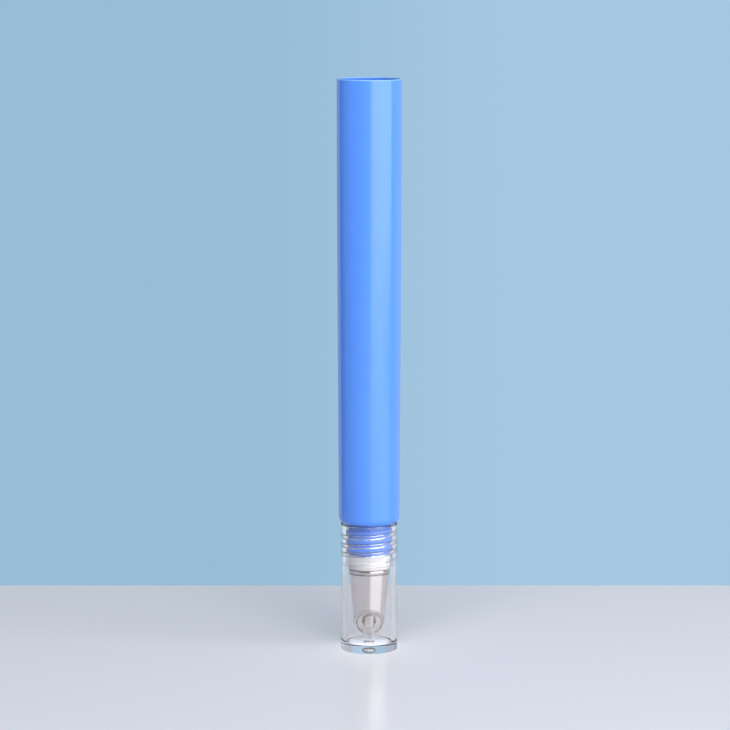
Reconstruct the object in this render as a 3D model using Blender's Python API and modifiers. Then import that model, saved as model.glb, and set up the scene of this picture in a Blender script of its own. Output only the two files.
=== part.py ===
"""A slim squeeze tube for eye cream, standing on its clear screw cap.

The soft sleeve is open at the top, before it is filled and sealed. Below its
shoulder is a threaded neck, then a white insert that carries a metal massage
tip with a slanted face. A thick clear cap screws over the tip, with the thread
moulded inside its wall, and the pin that rises from the cap's floor plugs the
nozzle inside the tip.

The script works in metres with +Z up. The cap's outer end stands on z = 0,
the axis of every turned piece is the Z axis, and the tip's slanted face
looks towards -Y.
"""

import math

import bmesh
import bpy

MM = 0.001

# Fits between neighbouring pieces
FIT = 0.1 * MM
MOUTH_GAP = 0.3 * MM
ROOT_CLEARANCE = 0.15 * MM
CREST_CLEARANCE = 0.15 * MM
PIN_CLEARANCE = 0.15 * MM
TIP_TO_FLOOR = 0.75 * MM

# Soft sleeve
SLEEVE_RADIUS = 9.5 * MM
SLEEVE_LENGTH = 138.1 * MM
SLEEVE_WALL = 0.5 * MM
SHOULDER_RING = 0.9 * MM
OUT_OF_ROUND = 0.05
OVAL_ONSET = 1.2

# Moulded head with the threaded neck
NECK_SETBACK = 2.9 * MM
NECK_LENGTH = 9.6 * MM
NECK_WALL = 2.3 * MM
SHOULDER_THICKNESS = 1.4 * MM
SKIRT_HEIGHT = 1.3 * MM
SKIRT_WALL = 0.7 * MM
SHOULDER_CONE_RISE = 0.9 * MM

# Thread of the neck, and the one inside the cap that it runs in. The angles
# are where each begins, counted from +X towards +Y.
PITCH = 2.75 * MM
NECK_THREAD_DEPTH = 0.6 * MM
NECK_THREAD_TURNS = 2.75
NECK_THREAD_ANGLE = math.radians(139)
THREAD_FOOT = 0.8 * MM
THREAD_CREST = 0.35 * MM
THREAD_ROOT_SINK = 0.25 * MM
THREAD_FADE_TURNS = 0.25
THREAD_TAIL = 0.3
CAP_THREAD_FOOT = 0.7 * MM
CAP_THREAD_TURNS = 3.75
CAP_THREAD_ANGLE = math.radians(228)
CAP_THREAD_LEAD = 1.5

# White insert
COLLAR_SETBACK = 0.1 * MM
COLLAR_HEIGHT = 4.6 * MM
COLLAR_EDGE = 0.2 * MM
STEM_LENGTH = 8.0 * MM
STEM_WALL = 1.6 * MM
NOZZLE_LENGTH = 14.4 * MM
NOZZLE_STEP = 0.3 * MM
NOZZLE_END_RADIUS = 2.6 * MM
ORIFICE_RADIUS = 1.4 * MM
ORIFICE_LENGTH = 3.2 * MM

# Metal tip
TIP_LENGTH = 22.85 * MM
TIP_STEP = 0.07 * MM
TIP_TAPER = math.radians(5.4)
TIP_LIP = 1.3 * MM
TIP_GROOVE = 0.25 * MM
TIP_FACE_HEIGHT = 9.9 * MM
TIP_EDGE_ROUND = 0.6 * MM
MOUTH_WIDTH = 3.6 * MM
MOUTH_LENGTH = 5.2 * MM
MOUTH_FORWARD = 0.6 * MM

# Clear cap with its pin
CAP_SETBACK = 0.6 * MM
CAP_BORE_STEP = 0.12 * MM
CAP_FLOOR = 2.4 * MM
CAP_FLOOR_ROUND = 0.8 * MM
CAP_EDGE_ROUND = 0.5 * MM
CAP_LIP = 0.25 * MM
GATE_RADIUS = 1.5 * MM
GATE_DEPTH = 0.9 * MM
GATE_STRAIGHT = 0.15 * MM
PIN_FOOT_RADIUS = 1.5 * MM
PIN_FOOT_LENGTH = 4.9 * MM
PIN_ENTRY = 2.0 * MM

# How finely round shapes are divided
SEGMENTS = 48
THREAD_STEPS = 24
ROUND_STEPS = 4
SLEEVE_RINGS = 9
CUT_MARGIN = 2.0 * MM

# Heights that follow from the stack of pieces, from the table upwards
TIP_LOW = CAP_FLOOR + TIP_TO_FLOOR
TIP_TOP = TIP_LOW + TIP_LENGTH
COLLAR_LOW = TIP_TOP + FIT
COLLAR_TOP = COLLAR_LOW + COLLAR_HEIGHT
NECK_LOW = COLLAR_TOP + FIT
SHOULDER = NECK_LOW + NECK_LENGTH
SLEEVE_TOP = SHOULDER + SLEEVE_LENGTH
CAP_TOP = SHOULDER - MOUTH_GAP
NOZZLE_LOW = COLLAR_LOW - NOZZLE_LENGTH
PIN_TOP = NOZZLE_LOW + PIN_ENTRY

# Radii that follow from the fits, from the sleeve inwards and then out to the cap
NECK_RADIUS = SLEEVE_RADIUS - NECK_SETBACK
NECK_BORE = NECK_RADIUS - NECK_WALL
SHOULDER_ROUND = NECK_SETBACK - SHOULDER_RING
NECK_THREAD_RADIUS = NECK_RADIUS + NECK_THREAD_DEPTH
CAP_ROOT_RADIUS = NECK_THREAD_RADIUS + ROOT_CLEARANCE
CAP_BORE = CAP_ROOT_RADIUS - CAP_BORE_STEP
CAP_RADIUS = SLEEVE_RADIUS - CAP_SETBACK
COLLAR_RADIUS = NECK_RADIUS - COLLAR_SETBACK
TIP_RADIUS = COLLAR_RADIUS - TIP_STEP
CAP_THREAD_CREST_RADIUS = NECK_RADIUS + CREST_CLEARANCE
CAP_THREAD_DEPTH = CAP_ROOT_RADIUS - CAP_THREAD_CREST_RADIUS
STEM_RADIUS = NECK_BORE - FIT
STEM_BORE = STEM_RADIUS - STEM_WALL
NOZZLE_TOP_RADIUS = STEM_RADIUS - NOZZLE_STEP
PIN_RADIUS = ORIFICE_RADIUS - PIN_CLEARANCE

# Where both threads begin. They mesh because the cap's is an odd number of half
# pitches below the neck's.
NECK_THREAD_START = NECK_LOW + THREAD_FOOT
THREAD_TURN_APART = (CAP_THREAD_ANGLE - NECK_THREAD_ANGLE) / (2 * math.pi)
CAP_THREAD_START = NECK_THREAD_START + (THREAD_TURN_APART - CAP_THREAD_LEAD) * PITCH


def clear_scene():
    for obj in list(bpy.data.objects):
        bpy.data.objects.remove(obj, do_unlink=True)


def new_collection(name, shown=True):
    collection = bpy.data.collections.new(name)
    collection.hide_render = not shown
    bpy.context.scene.collection.children.link(collection)
    return collection


def material(name, colour, roughness, metallic=0.0, transmission=0.0):
    made = bpy.data.materials.new(name)
    made.use_nodes = True
    shader = made.node_tree.nodes["Principled BSDF"]
    shader.inputs["Base Color"].default_value = (*colour, 1.0)
    shader.inputs["Roughness"].default_value = roughness
    shader.inputs["Metallic"].default_value = metallic
    shader.inputs["Transmission Weight"].default_value = transmission
    return made


def arc(centre, radius, start, end, steps=ROUND_STEPS):
    """Points (r, z) on a round corner, from one angle in degrees to another."""
    angles = [math.radians(start + (end - start) * i / steps) for i in range(steps + 1)]
    return [(centre[0] + radius * math.cos(a), centre[1] + radius * math.sin(a)) for a in angles]


def linked(obj, collection):
    collection.objects.link(obj)
    return obj


def turned(name, profile, collection, closed=True):
    """A profile of (r, z) points swept round the Z axis. It runs down the outer side."""
    mesh = bpy.data.meshes.new(name)
    edges = [(i, i + 1) for i in range(len(profile) - 1)]
    if closed:
        edges.append((len(profile) - 1, 0))
    mesh.from_pydata([(r, 0.0, z) for r, z in profile], edges, [])
    obj = linked(bpy.data.objects.new(name, mesh), collection)
    screw = obj.modifiers.new("turn", "SCREW")
    screw.axis = "Z"
    screw.angle = 2 * math.pi
    screw.steps = SEGMENTS
    screw.render_steps = SEGMENTS
    screw.use_merge_vertices = True
    screw.merge_threshold = 0.001 * MM
    screw.use_smooth_shade = True
    return obj


def as_mesh(obj):
    """Replace an object by the mesh that its modifiers or its curve make."""
    graph = bpy.context.evaluated_depsgraph_get()
    mesh = bpy.data.meshes.new_from_object(obj.evaluated_get(graph))
    mesh.name = obj.name
    name, matrix, homes = obj.name, obj.matrix_world.copy(), obj.users_collection
    made = bpy.data.objects.new(name + "_mesh", mesh)
    made.matrix_world = matrix
    for home in homes:
        home.objects.link(made)
    bpy.data.objects.remove(obj, do_unlink=True)
    made.name = name
    weld = bmesh.new()
    weld.from_mesh(mesh)
    bmesh.ops.remove_doubles(weld, verts=weld.verts, dist=0.001 * MM)
    bmesh.ops.recalc_face_normals(weld, faces=weld.faces)
    weld.to_mesh(mesh)
    weld.free()
    return made


def combine(obj, other, operation):
    """Join or cut with another mesh object, which becomes a hidden helper."""
    change = obj.modifiers.new(operation.lower(), "BOOLEAN")
    change.operation = operation
    change.solver = "EXACT"
    change.object = other
    other.hide_render = True
    other.display_type = "WIRE"


def helix_ridge(name, radius, start, first, turns, depth, foot, crest, collection):
    """A thread's ridge on a helix. A negative depth points inwards, and its ends fade out."""
    inwards = -1.0 if depth < 0 else 1.0
    outline = bpy.data.curves.new(name + "_outline", "CURVE")
    outline.dimensions = "2D"
    corners = [
        (-inwards * THREAD_ROOT_SINK, -foot),
        (depth, -crest),
        (depth, crest),
        (-inwards * THREAD_ROOT_SINK, foot),
    ]
    spline = outline.splines.new("POLY")
    spline.points.add(len(corners) - 1)
    for point, (across, along) in zip(spline.points, corners):
        point.co = (across, along, 0.0, 1.0)
    spline.use_cyclic_u = True
    section = linked(bpy.data.objects.new(name + "_outline", outline), collection)
    section.hide_render = True

    path = bpy.data.curves.new(name, "CURVE")
    path.dimensions = "3D"
    path.twist_mode = "Z_UP"
    path.bevel_mode = "OBJECT"
    path.bevel_object = section
    path.use_fill_caps = True
    helix = path.splines.new("POLY")
    count = round(turns * THREAD_STEPS)
    helix.points.add(count)
    for i, point in enumerate(helix.points):
        turn = i / THREAD_STEPS
        angle = first + 2 * math.pi * turn
        height = start + PITCH * turn
        point.co = (radius * math.cos(angle), radius * math.sin(angle), height, 1.0)
        ends = min(i, count - i) / THREAD_STEPS / THREAD_FADE_TURNS
        point.radius = THREAD_TAIL + (1 - THREAD_TAIL) * min(1.0, ends)
    return as_mesh(linked(bpy.data.objects.new(name, path), collection))


def tip_radius(height):
    """The metal cone's radius at a height."""
    return TIP_RADIUS - (TIP_TOP - height) * math.tan(TIP_TAPER)


def make_sleeve(parts, finish):
    low = SHOULDER + SHOULDER_ROUND
    corner = SLEEVE_RADIUS - SHOULDER_ROUND
    edge = corner - FIT
    rings = [SLEEVE_TOP - (SLEEVE_TOP - low) * i / SLEEVE_RINGS for i in range(SLEEVE_RINGS)]
    profile = [(SLEEVE_RADIUS, z) for z in rings]
    profile += arc((corner, low), SHOULDER_ROUND, 0, -90)
    profile += [(edge, SHOULDER), (edge, SHOULDER + SLEEVE_WALL)]
    profile += arc((corner, low), SHOULDER_ROUND - SLEEVE_WALL, -90, 0)
    profile += [(SLEEVE_RADIUS - SLEEVE_WALL, z) for z in reversed(rings)]
    sleeve = as_mesh(turned("tube_sleeve", profile, parts))
    for vertex in sleeve.data.vertices:
        share = max(0.0, (vertex.co.z - low) / (SLEEVE_TOP - low))
        oval = OUT_OF_ROUND * math.sin(math.pi / 2 * share) ** OVAL_ONSET
        vertex.co.x *= 1 + oval
        vertex.co.y *= 1 - oval
    sleeve.data.materials.append(finish)
    return sleeve


def make_head(parts, helpers, finish):
    lip = SLEEVE_RADIUS - SHOULDER_ROUND - 2 * FIT
    corner = (SLEEVE_RADIUS - SHOULDER_ROUND, SHOULDER + SHOULDER_ROUND)
    inner_round = SHOULDER_ROUND - SLEEVE_WALL - FIT
    skirt_radius = corner[0] + inner_round
    skirt_top = corner[1] + SKIRT_HEIGHT
    plate_top = SHOULDER + SHOULDER_THICKNESS
    profile = [(skirt_radius, skirt_top)]
    profile += arc(corner, inner_round, 0, -90)
    profile += [
        (lip, corner[1] - inner_round),
        (lip, SHOULDER),
        (NECK_RADIUS, SHOULDER),
        (NECK_RADIUS, NECK_LOW),
        (NECK_BORE, NECK_LOW),
        (NECK_BORE, plate_top),
        (skirt_radius - SKIRT_WALL, plate_top + SHOULDER_CONE_RISE),
        (skirt_radius - SKIRT_WALL, skirt_top),
    ]
    head = turned("tube_head", profile, parts)
    ridge = helix_ridge(
        "neck_thread_ridge", NECK_RADIUS, NECK_THREAD_START, NECK_THREAD_ANGLE,
        NECK_THREAD_TURNS, NECK_THREAD_DEPTH, THREAD_FOOT, THREAD_CREST, helpers,
    )
    combine(head, ridge, "UNION")
    head.data.materials.append(finish)
    return head


def make_insert(parts, finish):
    profile = [
        (STEM_RADIUS, NECK_LOW + STEM_LENGTH),
        (STEM_RADIUS, COLLAR_TOP),
        (COLLAR_RADIUS - COLLAR_EDGE, COLLAR_TOP),
        (COLLAR_RADIUS, COLLAR_TOP - COLLAR_EDGE),
        (COLLAR_RADIUS, COLLAR_LOW + COLLAR_EDGE),
        (COLLAR_RADIUS - COLLAR_EDGE, COLLAR_LOW),
        (NOZZLE_TOP_RADIUS, COLLAR_LOW),
        (NOZZLE_END_RADIUS, NOZZLE_LOW),
        (ORIFICE_RADIUS, NOZZLE_LOW),
        (ORIFICE_RADIUS, NOZZLE_LOW + ORIFICE_LENGTH),
        (STEM_BORE, COLLAR_LOW),
        (STEM_BORE, NECK_LOW + STEM_LENGTH),
    ]
    insert = turned("tip_insert", profile, parts)
    insert.data.materials.append(finish)
    return insert


def move_to(obj, collection):
    for home in list(obj.users_collection):
        home.objects.unlink(obj)
    collection.objects.link(obj)


def slant_cutter(front_height, helpers):
    """A large block whose upper face is the slanted face of the tip."""
    front, back = tip_radius(front_height), tip_radius(TIP_LOW)
    slope = math.atan2(front_height - TIP_LOW, front + back)
    size = 4 * TIP_RADIUS
    bpy.ops.mesh.primitive_cube_add(size=size)
    block = bpy.context.object
    block.name = "slant_cutter"
    block.rotation_euler = (-slope, 0.0, 0.0)
    block.location = (
        0.0,
        (back - front - size * math.sin(slope)) / 2,
        (front_height + TIP_LOW - size * math.cos(slope)) / 2,
    )
    move_to(block, helpers)
    return block


def make_tip(parts, helpers, finish):
    bottom = TIP_LOW - CUT_MARGIN
    tip = turned("metal_tip", [
        (0.0, TIP_TOP), (TIP_RADIUS, TIP_TOP), (tip_radius(bottom), bottom), (0.0, bottom),
    ], parts, closed=False)
    combine(tip, slant_cutter(TIP_LOW + TIP_FACE_HEIGHT, helpers), "DIFFERENCE")
    soften = tip.modifiers.new("soften", "BEVEL")
    soften.width = TIP_EDGE_ROUND
    soften.segments = 3
    soften.limit_method = "ANGLE"
    soften.angle_limit = math.radians(30)

    lip_low = TIP_TOP - TIP_LIP
    lip = turned("lip_ring", [
        (0.0, TIP_TOP), (TIP_RADIUS, TIP_TOP), (TIP_RADIUS, lip_low),
        (TIP_RADIUS - TIP_GROOVE, lip_low - TIP_GROOVE), (0.0, lip_low - TIP_GROOVE),
    ], helpers, closed=False)
    combine(tip, lip, "UNION")

    ledge = NOZZLE_LOW - FIT
    bore = turned("nozzle_seat_cutter", [
        (0.0, TIP_TOP + CUT_MARGIN),
        (NOZZLE_TOP_RADIUS + FIT, TIP_TOP + CUT_MARGIN),
        (NOZZLE_TOP_RADIUS + FIT, TIP_TOP),
        (NOZZLE_END_RADIUS + FIT, ledge),
        (0.0, ledge),
    ], helpers, closed=False)
    combine(tip, bore, "DIFFERENCE")

    depth = ledge + FIT - bottom
    bpy.ops.mesh.primitive_cylinder_add(vertices=SEGMENTS // 2, radius=1.0, depth=depth)
    mouth = bpy.context.object
    mouth.name = "mouth_cutter"
    mouth.scale = (MOUTH_WIDTH / 2, MOUTH_LENGTH / 2, 1.0)
    mouth.location = (0.0, -MOUTH_FORWARD, bottom + depth / 2)
    move_to(mouth, helpers)
    combine(tip, mouth, "DIFFERENCE")
    tip.data.materials.append(finish)
    return tip


def make_cap(parts, helpers, finish):
    pin_shoulder = CAP_FLOOR + PIN_FOOT_LENGTH
    bore_top = CAP_THREAD_START - CAP_THREAD_FOOT - CAP_BORE_STEP
    profile = arc((0.0, PIN_TOP - PIN_RADIUS), PIN_RADIUS, 90, 0)
    profile += [
        (PIN_RADIUS, pin_shoulder),
        (PIN_FOOT_RADIUS, pin_shoulder),
        (PIN_FOOT_RADIUS, CAP_FLOOR),
    ]
    profile += arc((CAP_BORE - CAP_FLOOR_ROUND, CAP_FLOOR + CAP_FLOOR_ROUND), CAP_FLOOR_ROUND, -90, 0)
    profile += [
        (CAP_BORE, bore_top),
        (CAP_ROOT_RADIUS, bore_top + CAP_BORE_STEP),
        (CAP_ROOT_RADIUS, CAP_TOP - CAP_LIP),
        (CAP_ROOT_RADIUS + CAP_LIP, CAP_TOP),
        (CAP_RADIUS - CAP_LIP, CAP_TOP),
        (CAP_RADIUS, CAP_TOP - CAP_LIP),
    ]
    profile += arc((CAP_RADIUS - CAP_EDGE_ROUND, CAP_EDGE_ROUND), CAP_EDGE_ROUND, 0, -90)
    profile += [(GATE_RADIUS, 0.0)]
    dome = (GATE_DEPTH - GATE_STRAIGHT) / GATE_RADIUS
    profile += [(r, GATE_STRAIGHT + z * dome) for r, z in arc((0.0, 0.0), GATE_RADIUS, 0, 90)]
    cap = turned("clear_cap", profile, parts, closed=False)
    ridge = helix_ridge(
        "cap_thread_ridge", CAP_ROOT_RADIUS, CAP_THREAD_START, CAP_THREAD_ANGLE,
        CAP_THREAD_TURNS, -CAP_THREAD_DEPTH, CAP_THREAD_FOOT, THREAD_CREST, helpers,
    )
    combine(cap, ridge, "UNION")
    cap.data.materials.append(finish)
    return cap


def body_axis(name, children, collection):
    """An empty on the joint axis that carries the pieces of one moving body."""
    axis = linked(bpy.data.objects.new(name, None), collection)
    axis.empty_display_type = "SINGLE_ARROW"
    axis.empty_display_size = CAP_RADIUS
    for child in children:
        child.parent = axis
    return axis


def main():
    clear_scene()
    parts = new_collection("eye_cream_tube")
    helpers = new_collection("cutters", shown=False)

    blue = material("blue_polyethylene", (0.13, 0.36, 0.9), 0.25)
    white = material("white_plastic", (0.85, 0.85, 0.86), 0.35)
    metal = material("satin_metal", (0.55, 0.55, 0.57), 0.28, metallic=1.0)
    clear = material("clear_plastic", (0.97, 0.98, 1.0), 0.03, transmission=1.0)

    sleeve = make_sleeve(parts, blue)
    head = make_head(parts, helpers, blue)
    insert = make_insert(parts, white)
    tip = make_tip(parts, helpers, metal)
    make_cap(parts, helpers, clear)

    turning = body_axis("tube_turn_axis", [sleeve, head, tip], parts)
    body_axis("tube_lift_axis", [insert, turning], parts)


main()
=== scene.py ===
# %% [markdown]
# This lesson dresses a slim squeeze tube for eye cream in Blender. The real tube is a soft blue
# polyethylene sleeve, open at the end where it will be filled, and it stands on its thick clear
# cap. Inside the cap sit a blue threaded neck, a white insert and a metal tip with a slanted face.
# The imported model gives every size, so it is loaded first and never changed: new surfaces are
# laid over it, and each hides the imported node that it stands for.

# %% Load the imported model
import math

import bmesh
import bpy
import numpy as np
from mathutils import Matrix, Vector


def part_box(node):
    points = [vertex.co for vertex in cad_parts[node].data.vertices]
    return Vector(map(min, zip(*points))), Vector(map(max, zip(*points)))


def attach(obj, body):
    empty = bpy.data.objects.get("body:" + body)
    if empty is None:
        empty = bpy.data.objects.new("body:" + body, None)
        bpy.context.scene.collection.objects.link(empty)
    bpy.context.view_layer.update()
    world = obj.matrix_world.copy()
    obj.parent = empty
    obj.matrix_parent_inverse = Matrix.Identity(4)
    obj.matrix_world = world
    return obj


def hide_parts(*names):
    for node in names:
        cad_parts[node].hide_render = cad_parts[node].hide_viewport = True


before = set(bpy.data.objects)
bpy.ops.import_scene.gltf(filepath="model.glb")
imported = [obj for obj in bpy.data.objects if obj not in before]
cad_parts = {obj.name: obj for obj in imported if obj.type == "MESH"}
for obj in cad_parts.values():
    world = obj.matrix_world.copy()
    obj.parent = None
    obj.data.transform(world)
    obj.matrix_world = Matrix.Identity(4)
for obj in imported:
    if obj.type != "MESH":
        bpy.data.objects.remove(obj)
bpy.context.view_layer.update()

MM = 0.001

# %% [markdown]
# Every piece here is round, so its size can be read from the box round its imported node: the
# heights of its ends and its widest radius. The rest are wall thicknesses and small fits that
# the box doesn't show, so they are named in millimetres next to the piece that uses them.

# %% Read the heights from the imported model
def heights(node):
    """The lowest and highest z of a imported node."""
    low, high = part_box(node)
    return low.z, high.z


def widest(node):
    """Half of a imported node's width along X, which is its radius when it is round."""
    low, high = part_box(node)
    return (high.x - low.x) / 2


SLEEVE_LOW, SLEEVE_TOP = heights("tube_sleeve")
NECK_LOW, SKIRT_TOP = heights("tube_head")
NOZZLE_LOW, STEM_TOP = heights("tip_insert")
TIP_TOP = heights("metal_tip")[1]
CAP_TOP = heights("clear_cap")[1]
print("sleeve top at", round(SLEEVE_TOP / MM, 1), "mm, cap top at", round(CAP_TOP / MM, 1), "mm")

# %% [markdown]
# A turned piece is an outline swung round an axis. Real plastic has no perfectly sharp corner,
# and a corner catches the light only when it has a radius, so the outline is given as corners
# with a radius each, and a function turns each corner into an arc. Long straight stretches are
# then divided, because a later step bends them into threads and out-of-round shapes. In the
# outlines below, the last number of each corner is its moulding radius in millimetres.

# %% Outlines with rounded corners
ARC_STEPS = 6
GUARD = 0.02
SAME_PLACE = 0.001 * MM


def rounded(corners):
    """A closed outline from (radius, height, rounding) corners in mm, given in metres.

    Each arc touches both sides at rounding / tan(half the corner's angle) from the corner. Its
    centre lies on the corner's bisector, and the arc is swept from one touching point to the
    other. One more point a little way out on each side keeps smooth shading from bending there.
    """
    points = np.array([corner[:2] for corner in corners], float)
    rounding = np.array([corner[2] for corner in corners], float)[:, None]
    back = np.roll(points, 1, axis=0) - points
    ahead = np.roll(points, -1, axis=0) - points
    back /= np.linalg.norm(back, axis=1, keepdims=True)
    ahead /= np.linalg.norm(ahead, axis=1, keepdims=True)
    half = np.arccos(np.clip((back * ahead).sum(1), -1, 1))[:, None] / 2
    bisector = (back + ahead) / np.linalg.norm(back + ahead, axis=1, keepdims=True)
    centre = points + bisector * rounding / np.sin(half)
    reach = rounding / np.tan(half)
    first = points + back * reach - centre
    last = points + ahead * reach - centre
    sweep = (np.pi - 2 * half)[:, None]
    share = np.linspace(0, 1, ARC_STEPS + 1)[None, :, None]
    arcs = np.sin((1 - share) * sweep) * first[:, None] + np.sin(share * sweep) * last[:, None]
    arcs = centre[:, None] + arcs / np.sin(sweep)
    before = points + back * (reach + GUARD)
    after = points + ahead * (reach + GUARD)
    return np.concatenate([before[:, None], arcs, after[:, None]], axis=1).reshape(-1, 2) * MM


def divided(outline, spacing, closed=True):
    """The outline with each stretch cut into equal steps, none longer than its spacing."""
    starts = outline if closed else outline[:-1]
    ahead = (np.roll(outline, -1, axis=0) if closed else outline[1:]) - starts
    steps = np.ceil(np.linalg.norm(ahead, axis=1) / spacing - 0.001).clip(1).astype(int)
    stretch = np.repeat(np.arange(len(starts)), steps)
    share = (np.arange(len(stretch)) - (np.cumsum(steps) - steps)[stretch]) / steps[stretch]
    points = starts[stretch] + share[:, None] * ahead[stretch]
    return points if closed else np.vstack([points, outline[-1:]])


def along(outline, radius):
    """Which stretches of a closed outline run straight up or down at a radius in mm."""
    near = np.abs(outline[:, 0] - radius * MM) < SAME_PLACE
    return near & np.roll(near, -1)


print("each corner becomes", ARC_STEPS + 3, "points")

# %% [markdown]
# The mesh itself comes from a grid of points: rows follow the outline, columns go round the
# axis. The faces join each point to its neighbours, and the grid closes on itself round the
# axis. An outline that is a loop closes that way too, and one that starts and ends on the axis
# has its two end rows welded into single points.

# %% From a grid of points to a mesh
AROUND = 192


def turned(outline, radius_change=0.0):
    """Grid points x = r cos a, y = r sin a, z, where r is the outline's radius plus a change."""
    angle = np.linspace(0, 2 * np.pi, AROUND, endpoint=False)[None, :]
    radius = outline[:, :1] + radius_change
    height = outline[:, 1:] + 0 * angle
    return np.stack([radius * np.cos(angle), radius * np.sin(angle), height], axis=-1)


def skin(name, points, loop=True):
    """A closed mesh over a grid of points, rows by columns.

    Face i, j joins points (i, j), (i + 1, j), (i + 1, j + 1) and (i, j + 1), and the columns close
    on themselves. It faces outwards when the outline runs down its outer side.
    """
    index = np.arange(points.shape[0] * points.shape[1]).reshape(points.shape[:2])
    here = np.vstack([index, index[:1]]) if loop else index
    right = np.roll(here, -1, axis=1)
    quads = np.stack([here[:-1], here[1:], right[1:], right[:-1]], axis=-1).reshape(-1, 4)
    mesh = bpy.data.meshes.new(name)
    mesh.from_pydata(points.reshape(-1, 3).tolist(), [], quads.tolist())
    if not loop:
        weld = bmesh.new()
        weld.from_mesh(mesh)
        poles = [v for v in weld.verts if math.hypot(v.co.x, v.co.y) < 0.1 * SAME_PLACE]
        bmesh.ops.remove_doubles(weld, verts=poles, dist=SAME_PLACE)
        weld.to_mesh(mesh)
        weld.free()
    mesh.shade_smooth()
    piece = bpy.data.objects.new(name, mesh)
    bpy.context.scene.collection.objects.link(piece)
    print(name, len(mesh.polygons), "faces")
    return piece


print("each row of an outline becomes", AROUND, "points round the axis")

# %% [markdown]
# Materials are node graphs. Moulded plastic is never one flat colour: the surface has a faint
# mottled tone, a fine grain and handling marks that make the gloss uneven. Several pieces need
# this, so it is built once as a node group, with its amounts as inputs, and each material sets
# its own values. The group gives out a colour, a roughness and a height.

# %% Small helpers for node trees
def add(tree, kind, label=None, **settings):
    """A new node in a tree, with its settings given by name."""
    node = tree.nodes.new(kind)
    node.label = label or ""
    for name, value in settings.items():
        setattr(node, name, value)
    return node


def math_node(tree, operation, first, second):
    """A Math node of two inputs, each a socket or a number. Returns its output."""
    node = add(tree, "ShaderNodeMath", operation=operation)
    for socket, value in zip(node.inputs, (first, second)):
        if isinstance(value, (int, float)):
            socket.default_value = value
        else:
            tree.links.new(value, socket)
    return node.outputs[0]


def noise(tree, position, scale, detail=2.0):
    """A noise pattern between 0 and 1 over a position."""
    node = add(tree, "ShaderNodeTexNoise")
    node.inputs["Scale"].default_value = scale
    node.inputs["Detail"].default_value = detail
    tree.links.new(position, node.inputs["Vector"])
    return node.outputs["Fac"]


def stretched(tree, position, scale):
    """The position with each axis scaled, which draws a pattern out along the small ones."""
    node = add(tree, "ShaderNodeMapping")
    node.inputs["Scale"].default_value = scale
    tree.links.new(position, node.inputs["Vector"])
    return node.outputs["Vector"]


# %% The shared surface group
CLOUD_SCALE = 90.0
GRAIN_SCALE = 2600.0
SMEAR_SCALE = 220.0
DRAWN_SCALE = (900.0, 900.0, 9.0)


def new_group(name, inputs, outputs):
    """A shader node group with named float or colour inputs and outputs."""
    tree = bpy.data.node_groups.new(name, "ShaderNodeTree")
    for label, kind, value in inputs:
        socket = tree.interface.new_socket(label, in_out="INPUT", socket_type=kind)
        socket.default_value = value
    for label, kind in outputs:
        tree.interface.new_socket(label, in_out="OUTPUT", socket_type=kind)
    return tree, add(tree, "NodeGroupInput"), add(tree, "NodeGroupOutput")


def moulded_surface():
    """Mottled tone, fine grain and uneven gloss, for anything moulded or extruded."""
    tree, given, out = new_group(
        "moulded_surface",
        [
            ("Colour", "NodeSocketColor", (0.8, 0.8, 0.8, 1.0)),
            ("Mottling", "NodeSocketFloat", 0.05),
            ("Roughness", "NodeSocketFloat", 0.3),
            ("Uneven gloss", "NodeSocketFloat", 0.05),
            ("Drawn lines", "NodeSocketFloat", 0.0),
        ],
        [
            ("Colour", "NodeSocketColor"),
            ("Roughness", "NodeSocketFloat"),
            ("Height", "NodeSocketFloat"),
        ],
    )
    place = add(tree, "ShaderNodeTexCoord").outputs["Object"]
    cloudy = noise(tree, place, CLOUD_SCALE)
    grain = noise(tree, place, GRAIN_SCALE)
    lines = noise(tree, stretched(tree, place, DRAWN_SCALE), 1.0)

    shade = math_node(tree, "SUBTRACT", cloudy, 0.5)
    shade = math_node(tree, "MULTIPLY", shade, given.outputs["Mottling"])
    bright = math_node(tree, "ADD", shade, 1.0)
    tint = add(tree, "ShaderNodeVectorMath", operation="SCALE")
    tree.links.new(given.outputs["Colour"], tint.inputs[0])
    tree.links.new(bright, tint.inputs["Scale"])
    tree.links.new(tint.outputs[0], out.inputs["Colour"])

    smear = math_node(tree, "SUBTRACT", noise(tree, place, SMEAR_SCALE, 4.0), 0.5)
    smear = math_node(tree, "MULTIPLY", smear, given.outputs["Uneven gloss"])
    rough = math_node(tree, "ADD", smear, given.outputs["Roughness"])
    tree.links.new(rough, out.inputs["Roughness"])

    drawn = math_node(tree, "MULTIPLY", lines, given.outputs["Drawn lines"])
    tree.links.new(math_node(tree, "ADD", grain, drawn), out.inputs["Height"])
    return tree


MOULDED = moulded_surface()
print("group inputs:", [s.name for s in MOULDED.interface.items_tree if s.in_out == "INPUT"])


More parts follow.
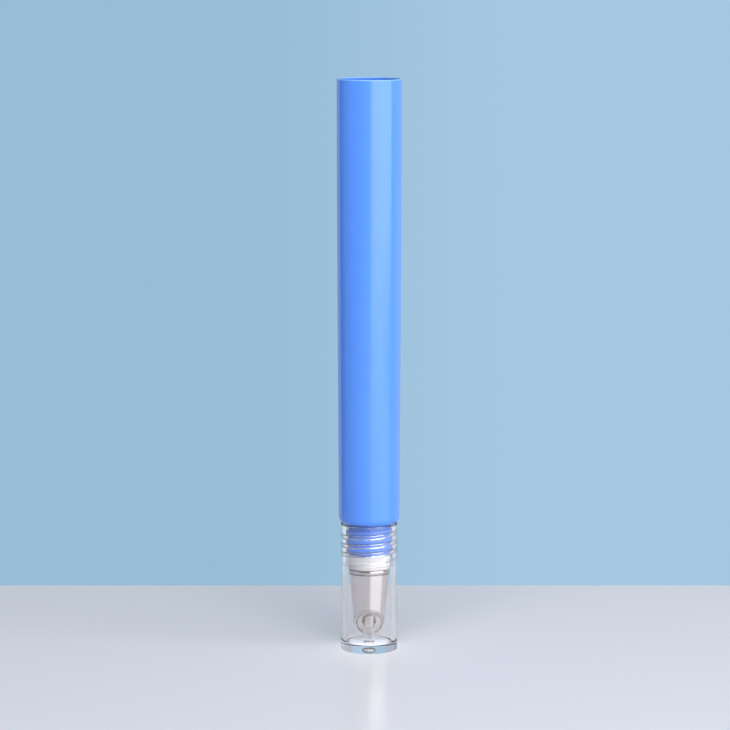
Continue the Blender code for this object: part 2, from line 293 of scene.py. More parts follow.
# %% A material on the moulded surface
def plastic(name, colour, mottling, roughness, uneven, lines, relief, **sockets):
    """A Principled material fed by the moulded surface.

    Its relief is in mm, and constants go on the shader's own sockets.
    """
    made = bpy.data.materials.new(name)
    made.use_nodes = True
    tree = made.node_tree
    shader = tree.nodes["Principled BSDF"]
    surface = add(tree, "ShaderNodeGroup", node_tree=MOULDED)
    values = {
        "Colour": (*colour, 1.0), "Mottling": mottling, "Roughness": roughness,
        "Uneven gloss": uneven, "Drawn lines": lines,
    }
    for label, value in values.items():
        surface.inputs[label].default_value = value
    bump = add(tree, "ShaderNodeBump")
    bump.inputs["Strength"].default_value = 1.0
    bump.inputs["Distance"].default_value = relief * MM
    tree.links.new(surface.outputs["Colour"], shader.inputs["Base Color"])
    tree.links.new(surface.outputs["Roughness"], shader.inputs["Roughness"])
    tree.links.new(surface.outputs["Height"], bump.inputs["Height"])
    tree.links.new(bump.outputs["Normal"], shader.inputs["Normal"])
    for label, value in sockets.items():
        shader.inputs[label.replace("_", " ")].default_value = value
    print(name, "made of", len(tree.nodes), "nodes")
    return made


# %% [markdown]
# The sleeve is extruded polyethylene: a thin wall, a satin gloss and faint lines along its
# length. It starts round at the shoulder, where it is welded to the stiff head, and it relaxes
# to a slight oval towards its cut end. That could be a deform modifier, but a formula says it
# plainly: the width grows and the depth shrinks by the same share, which keeps the girth. The
# cut edge is painted paler. Part of this is the knife's whitened cut, and part is a painted
# highlight of the light that the rim catches.

# %% The soft sleeve
SLEEVE_WALL = 0.5
SHOULDER_ROUND = 2.0
CUT_EDGE = 0.2
OUT_OF_ROUND = 0.05
OVAL_ONSET = 1.2
SLEEVE_ROW = 1.5 * MM


def oval(points, low, high):
    """Widen X and narrow Y by a share that rises as the sine of the height, from 0 at low."""
    share = np.clip((points[..., 2] - low) / (high - low), 0, 1)
    change = OUT_OF_ROUND * np.sin(np.pi / 2 * share) ** OVAL_ONSET
    return points * np.stack([1 + change, 1 - change, np.ones_like(change)], axis=-1)


def make_sleeve():
    """The sleeve's closed section, turned and then made oval towards its open end.

    With it comes a yes or no for each face: whether both of its rows lie at the cut.
    """
    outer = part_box("tube_sleeve")[1].y / MM
    low, top = SLEEVE_LOW / MM, SLEEVE_TOP / MM
    lip = outer - SHOULDER_ROUND
    outline = rounded([
        (outer, top, CUT_EDGE), (outer, low, SHOULDER_ROUND), (lip, low, 0.1),
        (lip, low + SLEEVE_WALL, 0.1),
        (outer - SLEEVE_WALL, low + SLEEVE_WALL, SHOULDER_ROUND - SLEEVE_WALL),
        (outer - SLEEVE_WALL, top, CUT_EDGE),
    ])
    outline = divided(outline, SLEEVE_ROW)
    points = oval(turned(outline), SLEEVE_LOW + SHOULDER_ROUND * MM, SLEEVE_TOP)
    at_cut = outline[:, 1] > SLEEVE_TOP - 1.5 * CUT_EDGE * MM
    return skin("soft_sleeve", points), np.repeat(at_cut & np.roll(at_cut, -1), AROUND)


SLEEVE_BLUE = (0.086, 0.280, 0.900)
# The paler blue of the cut edge is partly the knife's whitened cut and partly a painted highlight.
CUT_HIGHLIGHT_BLUE = (0.28, 0.52, 0.88)
sleeve_finish = plastic(
    "blue_extruded_sleeve", SLEEVE_BLUE, mottling=0.06, roughness=0.20, uneven=0.06, lines=1.5,
    relief=0.004, IOR=1.5, Specular_IOR_Level=0.65,
)
cut_highlight_finish = plastic(
    "cut_edge_painted_highlight", CUT_HIGHLIGHT_BLUE, mottling=0.06, roughness=0.40, uneven=0.06, lines=0.0,
    relief=0.004, IOR=1.5,
)
sleeve, at_cut = make_sleeve()
sleeve.data.materials.append(sleeve_finish)
sleeve.data.materials.append(cut_highlight_finish)
# Faces at the cut get the paler colour, which is partly a painted highlight.
sleeve.data.polygons.foreach_set("material_index", at_cut.astype(np.int32))
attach(sleeve, "tube")
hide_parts("tube_sleeve")

# %% [markdown]
# A screw thread is a ridge on a helix. It could be a profile carried along a helix curve and
# joined to the neck, but then the seam between them shades badly. Here the neck is one surface,
# and the ridge is a height added to its radius: at each angle and height, the nearest turn of
# the helix is found, and the distance from its middle line sets how far the surface stands out.
# The cap's thread starts small, so that it draws no bold line across the white collar.

# %% The thread as a change of radius
PITCH = 2.75
THREAD_ROW = 0.07 * MM
ENTRY_TURNS = 0.5


def ridge(outline, start, first, turns, depth, foot, crest, fade=0.25, entry=1.0):
    """Height of a right-hand ridge over each grid point.

    The helix is at z = start + pitch * turns, and begins at the angle called first, in degrees.
    The offset from its nearest turn gives a flank that rises from foot to crest, and the ends
    fade in and out over a share of a turn. The first half turn has only the share called entry
    of the width and depth, and over the next half turn both grow to the full size.
    """
    angle = np.linspace(0, 1, AROUND, endpoint=False)[None, :] - first / 360
    reached = (outline[:, 1:] / MM - start) / PITCH
    turn = np.round(reached - angle) + angle
    offset = np.abs(reached - turn) * PITCH
    width = entry + (1 - entry) * np.clip(turn / ENTRY_TURNS - 1, 0, 1)
    flank = np.clip((foot * width - offset) / ((foot - crest) * width), 0, 1)
    ends = np.clip(np.minimum(turn, turns - turn) / fade, 0, 1)
    return depth * MM * width * ends * flank * flank * (3 - 2 * flank)


print("a turn of the thread rises", PITCH, "mm")

# %% [markdown]
# The head is moulded in one shot: a plate that the sleeve is welded to, and the neck below it.
# The insert is pressed into its bore. Only the neck shows, but the plate and its skirt are
# built too, because they are seen down the open end of the sleeve.

# %% The head with its threaded neck
NECK_RADIUS = 6.6
NECK_BORE = 4.3
NECK_THREAD_DEPTH = 0.6
FIT = 0.1
SHOULDER_THICKNESS = 1.4
SKIRT_WALL = 0.7
SHOULDER_CONE_RISE = 0.9
THREAD_FOOT, THREAD_CREST = 0.8, 0.35
NECK_THREAD_ANGLE = 139
NECK_THREAD_TURNS = 2.75
NECK_THREAD_START = NECK_LOW / MM + THREAD_FOOT


def make_head():
    """The head's closed section, turned, with the ridge added to the radius of the neck's rows."""
    skirt = widest("tube_head") / MM
    inner_round = SHOULDER_ROUND - SLEEVE_WALL - FIT
    shoulder, low = SLEEVE_LOW / MM, NECK_LOW / MM
    lip = skirt - inner_round - 2 * FIT
    plate = shoulder + SHOULDER_ROUND - inner_round
    outline = rounded([
        (skirt, SKIRT_TOP / MM, 0.15), (skirt, plate, inner_round - 0.02), (lip, plate, 0.04),
        (lip, shoulder, 0.15), (NECK_RADIUS, shoulder, 0.3), (NECK_RADIUS, low, 0.2),
        (NECK_BORE, low, 0.1), (NECK_BORE, shoulder + SHOULDER_THICKNESS, 0.2),
        (skirt - SKIRT_WALL, shoulder + SHOULDER_THICKNESS + SHOULDER_CONE_RISE, 0.2),
        (skirt - SKIRT_WALL, SKIRT_TOP / MM, 0.15),
    ])
    outline = divided(outline, np.where(along(outline, NECK_RADIUS), THREAD_ROW, MM))
    raised = ridge(
        outline, NECK_THREAD_START, NECK_THREAD_ANGLE, NECK_THREAD_TURNS,
        NECK_THREAD_DEPTH, THREAD_FOOT, THREAD_CREST,
    )
    return skin("threaded_head", turned(outline, raised * along(outline, NECK_RADIUS)[:, None]))


HEAD_BLUE = (0.070, 0.190, 0.640)
head_finish = plastic(
    "blue_moulded_head", HEAD_BLUE, mottling=0.05, roughness=0.38, uneven=0.06, lines=0.0,
    relief=0.003, IOR=1.5,
)
head = make_head()
head.data.materials.append(head_finish)
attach(head, "tube")
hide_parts("tube_head")

# %% [markdown]
# The white insert joins tube and tip: a stem in the neck, the collar that shows as a white band,
# and a tapered nozzle inside the metal. It is a plain turned part with small moulding radii. Light
# goes a few millimetres into white plastic, which is what the subsurface setting shows.

# %% The white insert
STEM_WALL = 1.6
NOZZLE_TOP_RADIUS = 3.9
NOZZLE_END_RADIUS = 2.6
ORIFICE_RADIUS = 1.4
ORIFICE_LENGTH = 3.2


def make_insert():
    """The insert's closed section, turned: its radii and heights are the same all round."""
    collar = widest("tip_insert") / MM
    stem = NECK_BORE - FIT
    low, top = NOZZLE_LOW / MM, STEM_TOP / MM
    under, over = TIP_TOP / MM + FIT, NECK_LOW / MM - FIT
    outline = rounded([
        (stem, top, 0.3), (stem, over, 0.08), (collar, over, 0.25), (collar, under, 0.2),
        (NOZZLE_TOP_RADIUS, under, 0.08), (NOZZLE_END_RADIUS, low, 0.2),
        (ORIFICE_RADIUS, low, 0.15), (ORIFICE_RADIUS, low + ORIFICE_LENGTH, 0.3),
        (stem - STEM_WALL, under, 0.5),
        (stem - STEM_WALL, top, 0.2),
    ])
    return skin("collar_insert", turned(divided(outline, MM)))


INSERT_WHITE = (0.545, 0.545, 0.55)
insert_finish = plastic(
    "white_moulded_insert", INSERT_WHITE, mottling=0.04, roughness=0.35, uneven=0.08, lines=0.0,
    relief=0.003, IOR=1.5, Specular_IOR_Level=0.25, Subsurface_Weight=0.6,
    Subsurface_Radius=(1.0, 1.0, 1.0), Subsurface_Scale=0.004,
)
insert = make_insert()
insert.data.materials.append(insert_finish)
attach(insert, "rising_insert")
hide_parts("tip_insert")

# %% [markdown]
# The metal tip is a cone cut by a slanted plane, with a polished rounding round the cut, a
# shallow dish in the cut face and an upright oval mouth. Cutting it with Booleans leaves long
# thin faces whose shading shows every mistake on metal. Seen from its axis, though, each
# direction meets the cone, the cut, the dish and the mouth exactly once, so the whole tip is one
# outline whose radii and heights depend on the angle.

# %% The metal tip
TIP_RADIUS = widest("metal_tip") / MM
TIP_LENGTH = 22.85
TIP_TAPER = math.tan(math.radians(5.4))
TIP_LIP = 1.3
TIP_GROOVE = 0.25
GROOVE_DEPTHS = 0.05, 0.2, 0.22, 0.3
LIP_BULGE = 0.22
FACE_HEIGHT = 9.9
EDGE_ROUND = 0.62
RING_GROOVE = ((0.06, 0.07), (0.12, 0.12), (0.22, 0.12), (0.28, 0.07), (0.36, 0.0))
DISH_DEPTH = 0.25
MOUTH_HALF_WIDTH, MOUTH_HALF_LENGTH = 1.8, 2.6
MOUTH_FORWARD = 0.6
MOUTH_EDGE = 0.18
LEDGE_GAP = 0.03
TIP_TURNS = 256
BEAD_ROWS, FLANK_ROWS, ROUNDING_ROWS, FACE_ROWS, BAND_ROWS = 8, 30, 12, 16, 5
INSIDE_SHARES = np.linspace(0.1, 1, 10)
# The tip's four finishes. The third is a dark tone of painted shade for edges and grooves.
POLISHED, SATIN, PAINTED_SHADE, BURNISHED = range(4)
SHADE_RIM_SINE = -0.05
RIM_BAND = 0.5
SIDE_SHARE = 0.25
LIP_SHADE_ROWS = 4
print("tip radius", round(TIP_RADIUS, 2), "mm at its lip, length", TIP_LENGTH, "mm")


# %% Curves between the rings of the tip
def mouth_radius(angle, grow=0.0):
    """Distance from the axis to the oval mouth's edge: the far root of the ellipse's equation."""
    across, along = MOUTH_HALF_WIDTH + grow, MOUTH_HALF_LENGTH + grow
    c, s = np.cos(angle), np.sin(angle)
    square = (c / across) ** 2 + (s / along) ** 2
    middle = s * MOUTH_FORWARD / along**2
    rest = (MOUTH_FORWARD / along) ** 2 - 1
    return (-middle + np.sqrt(middle**2 - square * rest)) / square


def between(start, end, shares):
    """Rows of (radius, height) that go straight from one ring to another, ends included."""
    shares = np.asarray(shares, float)[:, None]
    return [a + (b - a) * shares for a, b in zip(start, end)]


def bend(start, corner, end, steps, skip=0):
    """Rows on a quadratic curve from start to end, pulled towards the corner between them.

    Each row is (1 - t) squared of start, 2 t (1 - t) of the corner and t squared of the end. The
    first rows can be skipped where the section before has them.
    """
    t = np.linspace(0, 1, steps + 1)[skip:, None]
    weights = (1 - t) ** 2, 2 * t * (1 - t), t**2
    return [sum(w * v for w, v in zip(weights, ring)) for ring in zip(start, corner, end)]


# %% The tip, from its lip down to the mouth and up inside
def make_tip():
    """The tip as rows of (radius, height), each a function of the angle a.

    The cone's radius falls with the depth below the top, times the taper. The cut is the plane
    whose height falls by the slope times r sin a, and the edge lies where cone and plane have the
    same height. The dish lifts the face by a quarter of a sine, and the mouth is an oval that is
    pushed forward. With the mesh comes the finish of each face.
    """
    angle = np.linspace(0, 2 * np.pi, TIP_TURNS, endpoint=False)
    flat = np.ones_like(angle)
    top = TIP_TOP / MM
    low = top - TIP_LENGTH

    def ring(radius, height):
        """A round ring."""
        return radius * flat, height * flat

    def cone(height):
        """The ring of the cone at a height."""
        return (TIP_RADIUS - (top - height) * TIP_TAPER) * flat, height * flat

    front, back = cone(low + FACE_HEIGHT)[0][0], cone(low)[0][0]
    slope = FACE_HEIGHT / (front + back)
    level = low + slope * back

    def cut_height(radius):
        """Height of the slanted plane, which is lowest at the back."""
        return level - slope * radius * np.sin(angle)

    edge_height = (level - slope * np.sin(angle) * (TIP_RADIUS - top * TIP_TAPER)) / (
        1 + slope * np.sin(angle) * TIP_TAPER
    )
    edge = cone(edge_height)
    steep = np.sqrt(1 + (slope * np.sin(angle)) ** 2)
    above = cone(edge_height + EDGE_ROUND)
    inner_radius = edge[0] - EDGE_ROUND / steep
    inner = inner_radius, cut_height(inner_radius)
    groove_radius = np.stack([inner_radius - width / steep for width, deep in RING_GROOVE])
    groove = [groove_radius, cut_height(groove_radius) + np.array(RING_GROOVE)[:, 1:]]

    lip_low = top - TIP_LIP
    bead = ring(TIP_RADIUS, top - TIP_LIP / 2)
    lip_top_edge, lip_low_edge = (ring(TIP_RADIUS - LIP_BULGE, z) for z in (top, lip_low))
    upper_bead = bend(lip_top_edge, ring(TIP_RADIUS, top), bead, BEAD_ROWS)
    lower_bead = bend(bead, ring(TIP_RADIUS, lip_low), lip_low_edge, BEAD_ROWS, skip=1)
    start, corner, end, below = (lip_low - depth for depth in GROOVE_DEPTHS)
    root = TIP_RADIUS - TIP_GROOVE
    lip_groove = bend(ring(root, start), ring(root, corner), cone(end), 4)
    flank = between(cone(below), above, np.linspace(0, 0.98, FLANK_ROWS))
    rounding = bend(above, edge, inner, ROUNDING_ROWS)

    rim_radius = mouth_radius(angle, MOUTH_EDGE)
    band = RIM_BAND * np.maximum(-np.sin(angle), SIDE_SHARE)
    band_radius = mouth_radius(angle, MOUTH_EDGE + band)
    width = groove_radius[-1] - rim_radius
    t = np.linspace(0.02, 1, FACE_ROWS)[:, None] * (groove_radius[-1] - band_radius) / width
    t = np.vstack([t, t[-1] + (1 - t[-1]) * np.linspace(0, 1, BAND_ROWS)[1:, None]])
    face_radius = groove_radius[-1] - width * t
    hollow = DISH_DEPTH * np.sin(np.pi / 2 * t)
    face = [face_radius, cut_height(face_radius) + hollow]

    wall = mouth_radius(angle)
    ledge = NOZZLE_LOW / MM - FIT
    rim = face_radius[-1], face[1][-1]
    rim_corner = wall, cut_height(wall) + DISH_DEPTH
    wall_start = wall, np.minimum(rim_corner[1] + MOUTH_EDGE, ledge - LEDGE_GAP)
    wall_end = wall, ledge * flat
    seat = ring(NOZZLE_END_RADIUS + FIT, ledge)
    mouth_rim = bend(rim, rim_corner, wall_start, 5, skip=1)
    inside = [
        between(wall_start, wall_end, INSIDE_SHARES),
        between(wall_end, seat, [0.33, 0.66, 1]),
        between(seat, ring(NOZZLE_TOP_RADIUS + FIT, top), INSIDE_SHARES),
    ]
    sections = [upper_bead, lower_bead, lip_groove, flank, rounding, groove, face, mouth_rim]
    sections += inside
    radius, height = (np.vstack([section[k] for section in sections]) * MM for k in (0, 1))
    points = np.stack([radius * np.cos(angle), radius * np.sin(angle), height], axis=-1)
    # The lip groove and the ring groove round the face are painted dark, as painted shade.
    plain = [POLISHED, POLISHED, PAINTED_SHADE, SATIN, BURNISHED, PAINTED_SHADE, BURNISHED, BURNISHED]
    plain += [SATIN] * len(inside)
    finish = [np.full((len(part[0]), TIP_TURNS), kind) for part, kind in zip(sections, plain)]
    # The lip's two edges are painted dark too, as painted shade.
    finish[0][:LIP_SHADE_ROWS] = PAINTED_SHADE
    finish[1][-LIP_SHADE_ROWS:] = PAINTED_SHADE
    # The mouth's rim and the band of face rows beside it are painted dark at the front, as painted
    # shade.
    shaded_rim = np.where(np.sin(angle) < SHADE_RIM_SINE, PAINTED_SHADE, BURNISHED)
    finish[6][-BAND_ROWS:] = shaded_rim
    finish[7][:] = shaded_rim
    return skin("massage_tip", points), np.vstack(finish).ravel()


tip, tip_finish = make_tip()

# %% [markdown]
# Plated metal is nearly all reflection. Its flank was ground on a lathe: fine lines run round it,
# and they spread a reflection up and down but hardly sideways, which is what the anisotropic
# setting does. Its lip was polished to a mirror, and the rounding and the face were burnished to
# a slightly darker sheen, both without lines. The lip's two edges, the groove under it, the fine
# groove round the face and the upper edge of the mouth get a dark, rough finish: painted shade
# that stands in for the shade falling in these edges and grooves. It draws the outlines that the
# tip is known by.

# %% The metal finishes
PLATING_DARK = 0.97, 0.91, 0.895
PLATING_LIGHT = 1.05, 0.99, 0.975
PLATING_SMEAR_SCALE = 260.0
LATHE_SCALE = (60.0, 60.0, 9000.0)
GLOSS_SWING = 0.06


def plated_metal(name, tone, roughness, line_relief, **sockets):
    """Even plating with smears in the gloss, and fine lines round the axis where they are left."""
    made = bpy.data.materials.new(name)
    made.use_nodes = True
    tree = made.node_tree
    shader = tree.nodes["Principled BSDF"]
    place = add(tree, "ShaderNodeTexCoord").outputs["Object"]
    lines = noise(tree, stretched(tree, place, LATHE_SCALE), 1.0, 4.0)
    smear = noise(tree, place, PLATING_SMEAR_SCALE, 4.0)
    tint = add(tree, "ShaderNodeMix", data_type="RGBA")
    tree.links.new(smear, tint.inputs["Factor"])
    tint.inputs["A"].default_value = (*(part * tone for part in PLATING_DARK), 1.0)
    tint.inputs["B"].default_value = (*(part * tone for part in PLATING_LIGHT), 1.0)
    tree.links.new(tint.outputs["Result"], shader.inputs["Base Color"])
    rough = math_node(tree, "MULTIPLY", math_node(tree, "ADD", lines, smear), GLOSS_SWING)
    rough = math_node(tree, "ADD", rough, roughness - GLOSS_SWING)
    tree.links.new(rough, shader.inputs["Roughness"])
    bump = add(tree, "ShaderNodeBump")
    bump.inputs["Distance"].default_value = line_relief * MM
    tree.links.new(lines, bump.inputs["Height"])
    tree.links.new(bump.outputs["Normal"], shader.inputs["Normal"])
    shader.inputs["Metallic"].default_value = 1.0
    round_axis = add(tree, "ShaderNodeTangent", direction_type="RADIAL", axis="Z")
    tree.links.new(round_axis.outputs[0], shader.inputs["Tangent"])
    for label, value in sockets.items():
        shader.inputs[label.replace("_", " ")].default_value = value
    print(name, "made of", len(tree.nodes), "nodes")
    return made


for finish in (
    plated_metal("polished_plating", tone=0.56, roughness=0.09, line_relief=0.0003),
    plated_metal(
        "satin_plating", tone=0.71, roughness=0.20, line_relief=0.0015, Anisotropic=0.85,
        Anisotropic_Rotation=0.25,
    ),
    # A dark tone that stands in for shade in edges and grooves: painted shade.
    plated_metal("painted_shade_plating", tone=0.24, roughness=0.45, line_relief=0.0015),
    plated_metal("burnished_plating", tone=0.51, roughness=0.20, line_relief=0.0003),
):
    tip.data.materials.append(finish)
tip.data.polygons.foreach_set("material_index", tip_finish.astype(np.int32))
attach(tip, "tube")
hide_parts("metal_tip")

# %% [markdown]
# The cap is one thick clear moulding: walls with the thread in them, a thick floor, the sealing
# pin on it, and the small domed recess where the plastic entered the mould. Its outline starts on
# the axis at the pin's top and ends on the axis in that recess. Clear plastic bends the light at
# every surface, so the wall has its true thickness: near its edges it shows not what is behind
# it but what its own inner surface mirrors, and that is how the thread reaches the silhouette.
# The lower edge has a small radius, because a large one draws a dark arc through the base. Clear
# plastic hardly darkens a table, so the cap's own shadow is switched off.

# %% The cap's measures
ROOT_CLEARANCE = 0.15
BORE_STEP = 0.12
CAP_FLOOR = 2.4
CAP_FLOOR_ROUND = 0.8
CAP_EDGE_ROUND = 0.24
CAP_LIP = 0.25
GATE_RADIUS = 1.5
GATE_DEPTH = 0.9
GATE_STRAIGHT = 0.15
DOME_ROWS = 13
PIN_CLEARANCE = 0.15
PIN_ENTRY = 2.0
PIN_FOOT_RADIUS = 1.5
PIN_FOOT_LENGTH = 4.9
CAP_ROW = 0.4 * MM
CAP_THREAD_DEPTH = 0.6
CAP_THREAD_FOOT = 0.7
CAP_THREAD_ENTRY = 0.45
CAP_THREAD_FADE = 0.02
CAP_THREAD_TURNS = 3.75
CAP_THREAD_ANGLE = 228
CAP_THREAD_LEAD = 1.5
TURN_APART = (CAP_THREAD_ANGLE - NECK_THREAD_ANGLE) / 360
CAP_THREAD_START = NECK_THREAD_START + (TURN_APART - CAP_THREAD_LEAD) * PITCH

print("the cap's thread starts", round(CAP_THREAD_START, 2), "mm above the table")


# %% The clear cap
def make_cap():
    """The cap's section from axis to axis, turned, with the ridge taken off its bore's radius."""
    outer, top = widest("clear_cap") / MM, CAP_TOP / MM
    root = NECK_RADIUS + NECK_THREAD_DEPTH + ROOT_CLEARANCE
    bore = root - BORE_STEP
    step_top = CAP_THREAD_START - CAP_THREAD_FOOT
    pin = ORIFICE_RADIUS - PIN_CLEARANCE
    pin_top = NOZZLE_LOW / MM + PIN_ENTRY
    shoulder = CAP_FLOOR + PIN_FOOT_LENGTH
    dome = GATE_DEPTH - GATE_STRAIGHT
    turn = np.linspace(0, np.pi / 2, DOME_ROWS)[:, None]
    pin_end = np.hstack([pin * np.sin(turn), pin_top - pin + pin * np.cos(turn)])
    gate_end = np.hstack([GATE_RADIUS * np.cos(turn), GATE_STRAIGHT + dome * np.sin(turn)])
    walls = rounded([
        (pin, pin_top - pin, 0.01), (pin, shoulder, 0.08), (PIN_FOOT_RADIUS, shoulder, 0.12),
        (PIN_FOOT_RADIUS, CAP_FLOOR, 0.25), (bore, CAP_FLOOR, CAP_FLOOR_ROUND),
        (bore, step_top - BORE_STEP, 0.05), (root, step_top, 0.05), (root, top, CAP_LIP),
        (outer, top, CAP_LIP), (outer, 0.0, CAP_EDGE_ROUND), (GATE_RADIUS, 0.0, 0.1),
        (GATE_RADIUS, GATE_STRAIGHT, 0.01),
    ])
    between_ends = walls[ARC_STEPS + 3:-(ARC_STEPS + 3)]
    outline = np.vstack([pin_end * MM, between_ends, gate_end * MM])
    threaded = along(outline, root)[:-1]
    outline = divided(outline, np.where(threaded, THREAD_ROW, CAP_ROW), closed=False)
    raised = ridge(
        outline, CAP_THREAD_START, CAP_THREAD_ANGLE, CAP_THREAD_TURNS,
        CAP_THREAD_DEPTH, CAP_THREAD_FOOT, THREAD_CREST, CAP_THREAD_FADE, CAP_THREAD_ENTRY,
    )
    points = turned(outline, -raised * along(outline, root)[:, None])
    return skin("thick_clear_cap", points, loop=False)


cap = make_cap()

# %% The clear plastic
CLEAR_TINT = (0.99, 0.99, 0.993)
clear_finish = plastic(
    "clear_polished_plastic", CLEAR_TINT, mottling=0.01, roughness=0.015, uneven=0.01, lines=0.0,
    relief=0.0005, Transmission_Weight=1.0, IOR=1.52,
)
cap.data.materials.append(clear_finish)
cap.visible_shadow = False
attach(cap, "cap")
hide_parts("clear_cap")

# %% [markdown]
# The stage is a plain pale table top, and the room behind it is a plain pale blue that is a
# little lighter on the right. Metal and clear plastic are only as good as what surrounds them, so
# reflections see a real room: the blue wall straight behind the tube, pale walls beside it that
# turn grey above the table's height, a dark left corner, a pale left, grey round the camera, and a
# dark ceiling that is a little lighter straight up. Those dark parts draw the thin dark lines in
# the clear plastic. The table top lies a hair below the cap, because its underside mirrors the
# room only with air under it.

# %% The table
TABLE_COLOUR = (0.88, 0.875, 0.92)
TABLE_ROUGHNESS = 0.26
TABLE_LEVEL = -0.05 * MM
TABLE_BACK = 0.087
TABLE_FRONT = -0.9
TABLE_HALF_WIDTH = 0.5


def make_table():
    """One flat rectangle: its corners lie at plus and minus the half width, front and back."""
    mesh = bpy.data.meshes.new("table_top")
    corners = [
        (-TABLE_HALF_WIDTH, TABLE_FRONT, TABLE_LEVEL), (TABLE_HALF_WIDTH, TABLE_FRONT, TABLE_LEVEL),
        (TABLE_HALF_WIDTH, TABLE_BACK, TABLE_LEVEL), (-TABLE_HALF_WIDTH, TABLE_BACK, TABLE_LEVEL),
    ]
    mesh.from_pydata(corners, [], [(0, 1, 2, 3)])
    table = bpy.data.objects.new("table_top", mesh)
    bpy.context.scene.collection.objects.link(table)
    made = bpy.data.materials.new("pale_table")
    made.use_nodes = True
    shader = made.node_tree.nodes["Principled BSDF"]
    shader.inputs["Base Color"].default_value = (*TABLE_COLOUR, 1.0)
    shader.inputs["Roughness"].default_value = TABLE_ROUGHNESS
    mesh.materials.append(made)
    print("table top", 2 * TABLE_HALF_WIDTH, "by", round(TABLE_BACK - TABLE_FRONT, 3), "m")


make_table()

# %% The room's colours and where they change
ROOM_LEFT = (0.31, 0.51, 0.68)
ROOM_RIGHT = (0.385, 0.575, 0.765)
ROOM_PALE = (0.52, 0.61, 0.86)
ROOM_SIDE = (0.75, 0.80, 0.88)
ROOM_SIDE_HIGH = (0.40, 0.44, 0.52)
ROOM_CORNER = (0.17, 0.20, 0.26)
ROOM_FRONT = (0.27, 0.265, 0.265)
ROOM_CEILING = (0.06, 0.06, 0.07)
ROOM_ZENITH = (0.13, 0.135, 0.16)
WALL_CHANGE = -0.05, 0.06
LEFT_END = -0.85, -0.6
SIDE_RISE = -0.04, 0.06
CORNER_END = -0.2, 0.2
FRONT_END = 0.05, 0.25
CORNER_DEPTH = 0.50, 0.62
WALL_START = 0.82, 0.92
CEILING_START = 0.30, 0.42
ZENITH_START = 0.70, 0.85
print("the wall goes from", ROOM_LEFT, "to", ROOM_RIGHT)


# %% The room
def room_mix(tree, direction, axis, limits, first, second):
    """A colour that changes softly from first to second as one part of the direction grows.

    The share of the second is 3 s squared less 2 s cubed, where s goes from 0 to 1 between the
    limits.
    """
    parts = add(tree, "ShaderNodeSeparateXYZ")
    tree.links.new(direction, parts.inputs[0])
    share = add(tree, "ShaderNodeMapRange", interpolation_type="SMOOTHSTEP")
    share.inputs["From Min"].default_value = limits[0]
    share.inputs["From Max"].default_value = limits[1]
    tree.links.new(parts.outputs[axis], share.inputs["Value"])
    mix = add(tree, "ShaderNodeMix", data_type="RGBA")
    tree.links.new(share.outputs[0], mix.inputs["Factor"])
    for socket, colour in (("A", first), ("B", second)):
        if isinstance(colour, tuple):
            mix.inputs[socket].default_value = (*colour, 1.0)
        else:
            tree.links.new(colour, mix.inputs[socket])
    return mix.outputs["Result"]


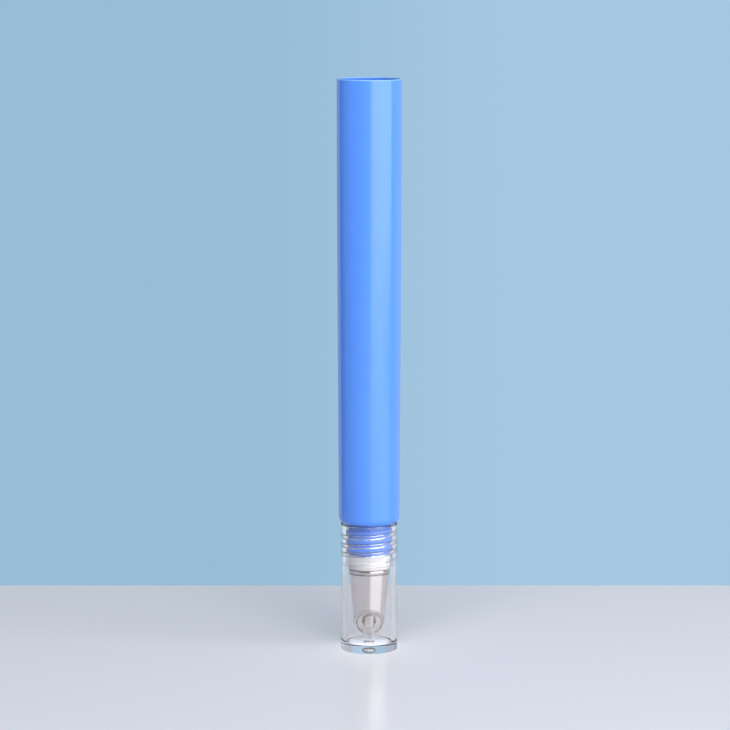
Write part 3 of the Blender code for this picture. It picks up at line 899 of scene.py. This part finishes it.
def make_room():
    """The camera meets only the blue wall, and reflections and bent rays the whole room."""
    world = bpy.data.worlds.new("room")
    world.use_nodes = True
    tree = world.node_tree
    direction = add(tree, "ShaderNodeTexCoord").outputs["Generated"]
    wall = room_mix(tree, direction, "X", WALL_CHANGE, ROOM_LEFT, ROOM_RIGHT)
    front = room_mix(tree, direction, "X", LEFT_END, ROOM_PALE, ROOM_FRONT)
    side = room_mix(tree, direction, "Z", SIDE_RISE, ROOM_SIDE, ROOM_SIDE_HIGH)
    corner = room_mix(tree, direction, "X", CORNER_END, ROOM_CORNER, side)
    around = room_mix(tree, direction, "Y", FRONT_END, front, corner)
    around = room_mix(tree, direction, "Y", CORNER_DEPTH, around, side)
    around = room_mix(tree, direction, "Y", WALL_START, around, wall)
    around = room_mix(tree, direction, "Z", CEILING_START, around, ROOM_CEILING)
    around = room_mix(tree, direction, "Z", ZENITH_START, around, ROOM_ZENITH)
    straight = add(tree, "ShaderNodeLightPath").outputs["Is Camera Ray"]
    shown, lit = add(tree, "ShaderNodeBackground"), tree.nodes["Background"]
    tree.links.new(wall, shown.inputs["Color"])
    tree.links.new(around, lit.inputs["Color"])
    mix = add(tree, "ShaderNodeMixShader")
    tree.links.new(straight, mix.inputs[0])
    tree.links.new(lit.outputs[0], mix.inputs[1])
    tree.links.new(shown.outputs[0], mix.inputs[2])
    tree.links.new(mix.outputs[0], tree.nodes["World Output"].inputs["Surface"])
    bpy.context.scene.world = world
    print("room made of", len(tree.nodes), "nodes")


make_room()

# %% [markdown]
# Round glossy things show their lights as upright bands. One large soft lamp stands on the table
# level in front on the right. Its left edge is almost in line with the camera, which gives the
# band on the sleeve and the metal its clear left edge. A smaller one overhead softens the shadow.
# The camera never sees the lamps.

# %% Lights
def softbox(name, bearing, distance, height, width, tall, watts, aim=0.1):
    """A rectangular lamp that faces the axis. Bearing 0 is the camera's side, and 90 is +X."""
    lamp = bpy.data.lights.new(name, "AREA")
    lamp.shape = "RECTANGLE"
    lamp.size, lamp.size_y = width, tall
    lamp.energy = watts
    holder = bpy.data.objects.new(name, lamp)
    turn = math.radians(bearing)
    holder.location = (distance * math.sin(turn), -distance * math.cos(turn), height)
    lean = math.atan2(height - aim, distance)
    holder.rotation_euler = (math.pi / 2 - lean, 0.0, turn)
    holder.visible_camera = False
    bpy.context.scene.collection.objects.link(holder)
    print(name, "of", width, "by", tall, "m gives", watts, "W")


softbox(
    "key_softbox", bearing=43.0, distance=1.05, height=0.70, width=1.56, tall=1.46, watts=19.5,
    aim=0.70,
)
softbox("top_softbox", bearing=0, distance=0.7, height=1.1, width=0.9, tall=0.6, watts=8.0)

# %% [markdown]
# The camera repeats the view of the photograph: a long lens, a little above the tube, looking
# down by about nine degrees. Its place was worked out from the tube's known heights.

# %% Camera
CAMERA_PLACE = (-0.0013, -0.8953, 0.2265)
CAMERA_PITCH = 8.67
LENS = 144.0

camera_data = bpy.data.cameras.new("camera")
camera_data.lens = LENS
camera_data.sensor_width = 36.0
camera_data.clip_end = 100.0
camera = bpy.data.objects.new("camera", camera_data)
camera.location = CAMERA_PLACE
camera.rotation_euler = (math.radians(90 - CAMERA_PITCH), 0.0, 0.0)
bpy.context.scene.collection.objects.link(camera)
bpy.context.scene.camera = camera
bpy.context.scene.view_settings.view_transform = "Standard"
print("camera at", CAMERA_PLACE, "m with a lens of", LENS, "mm")
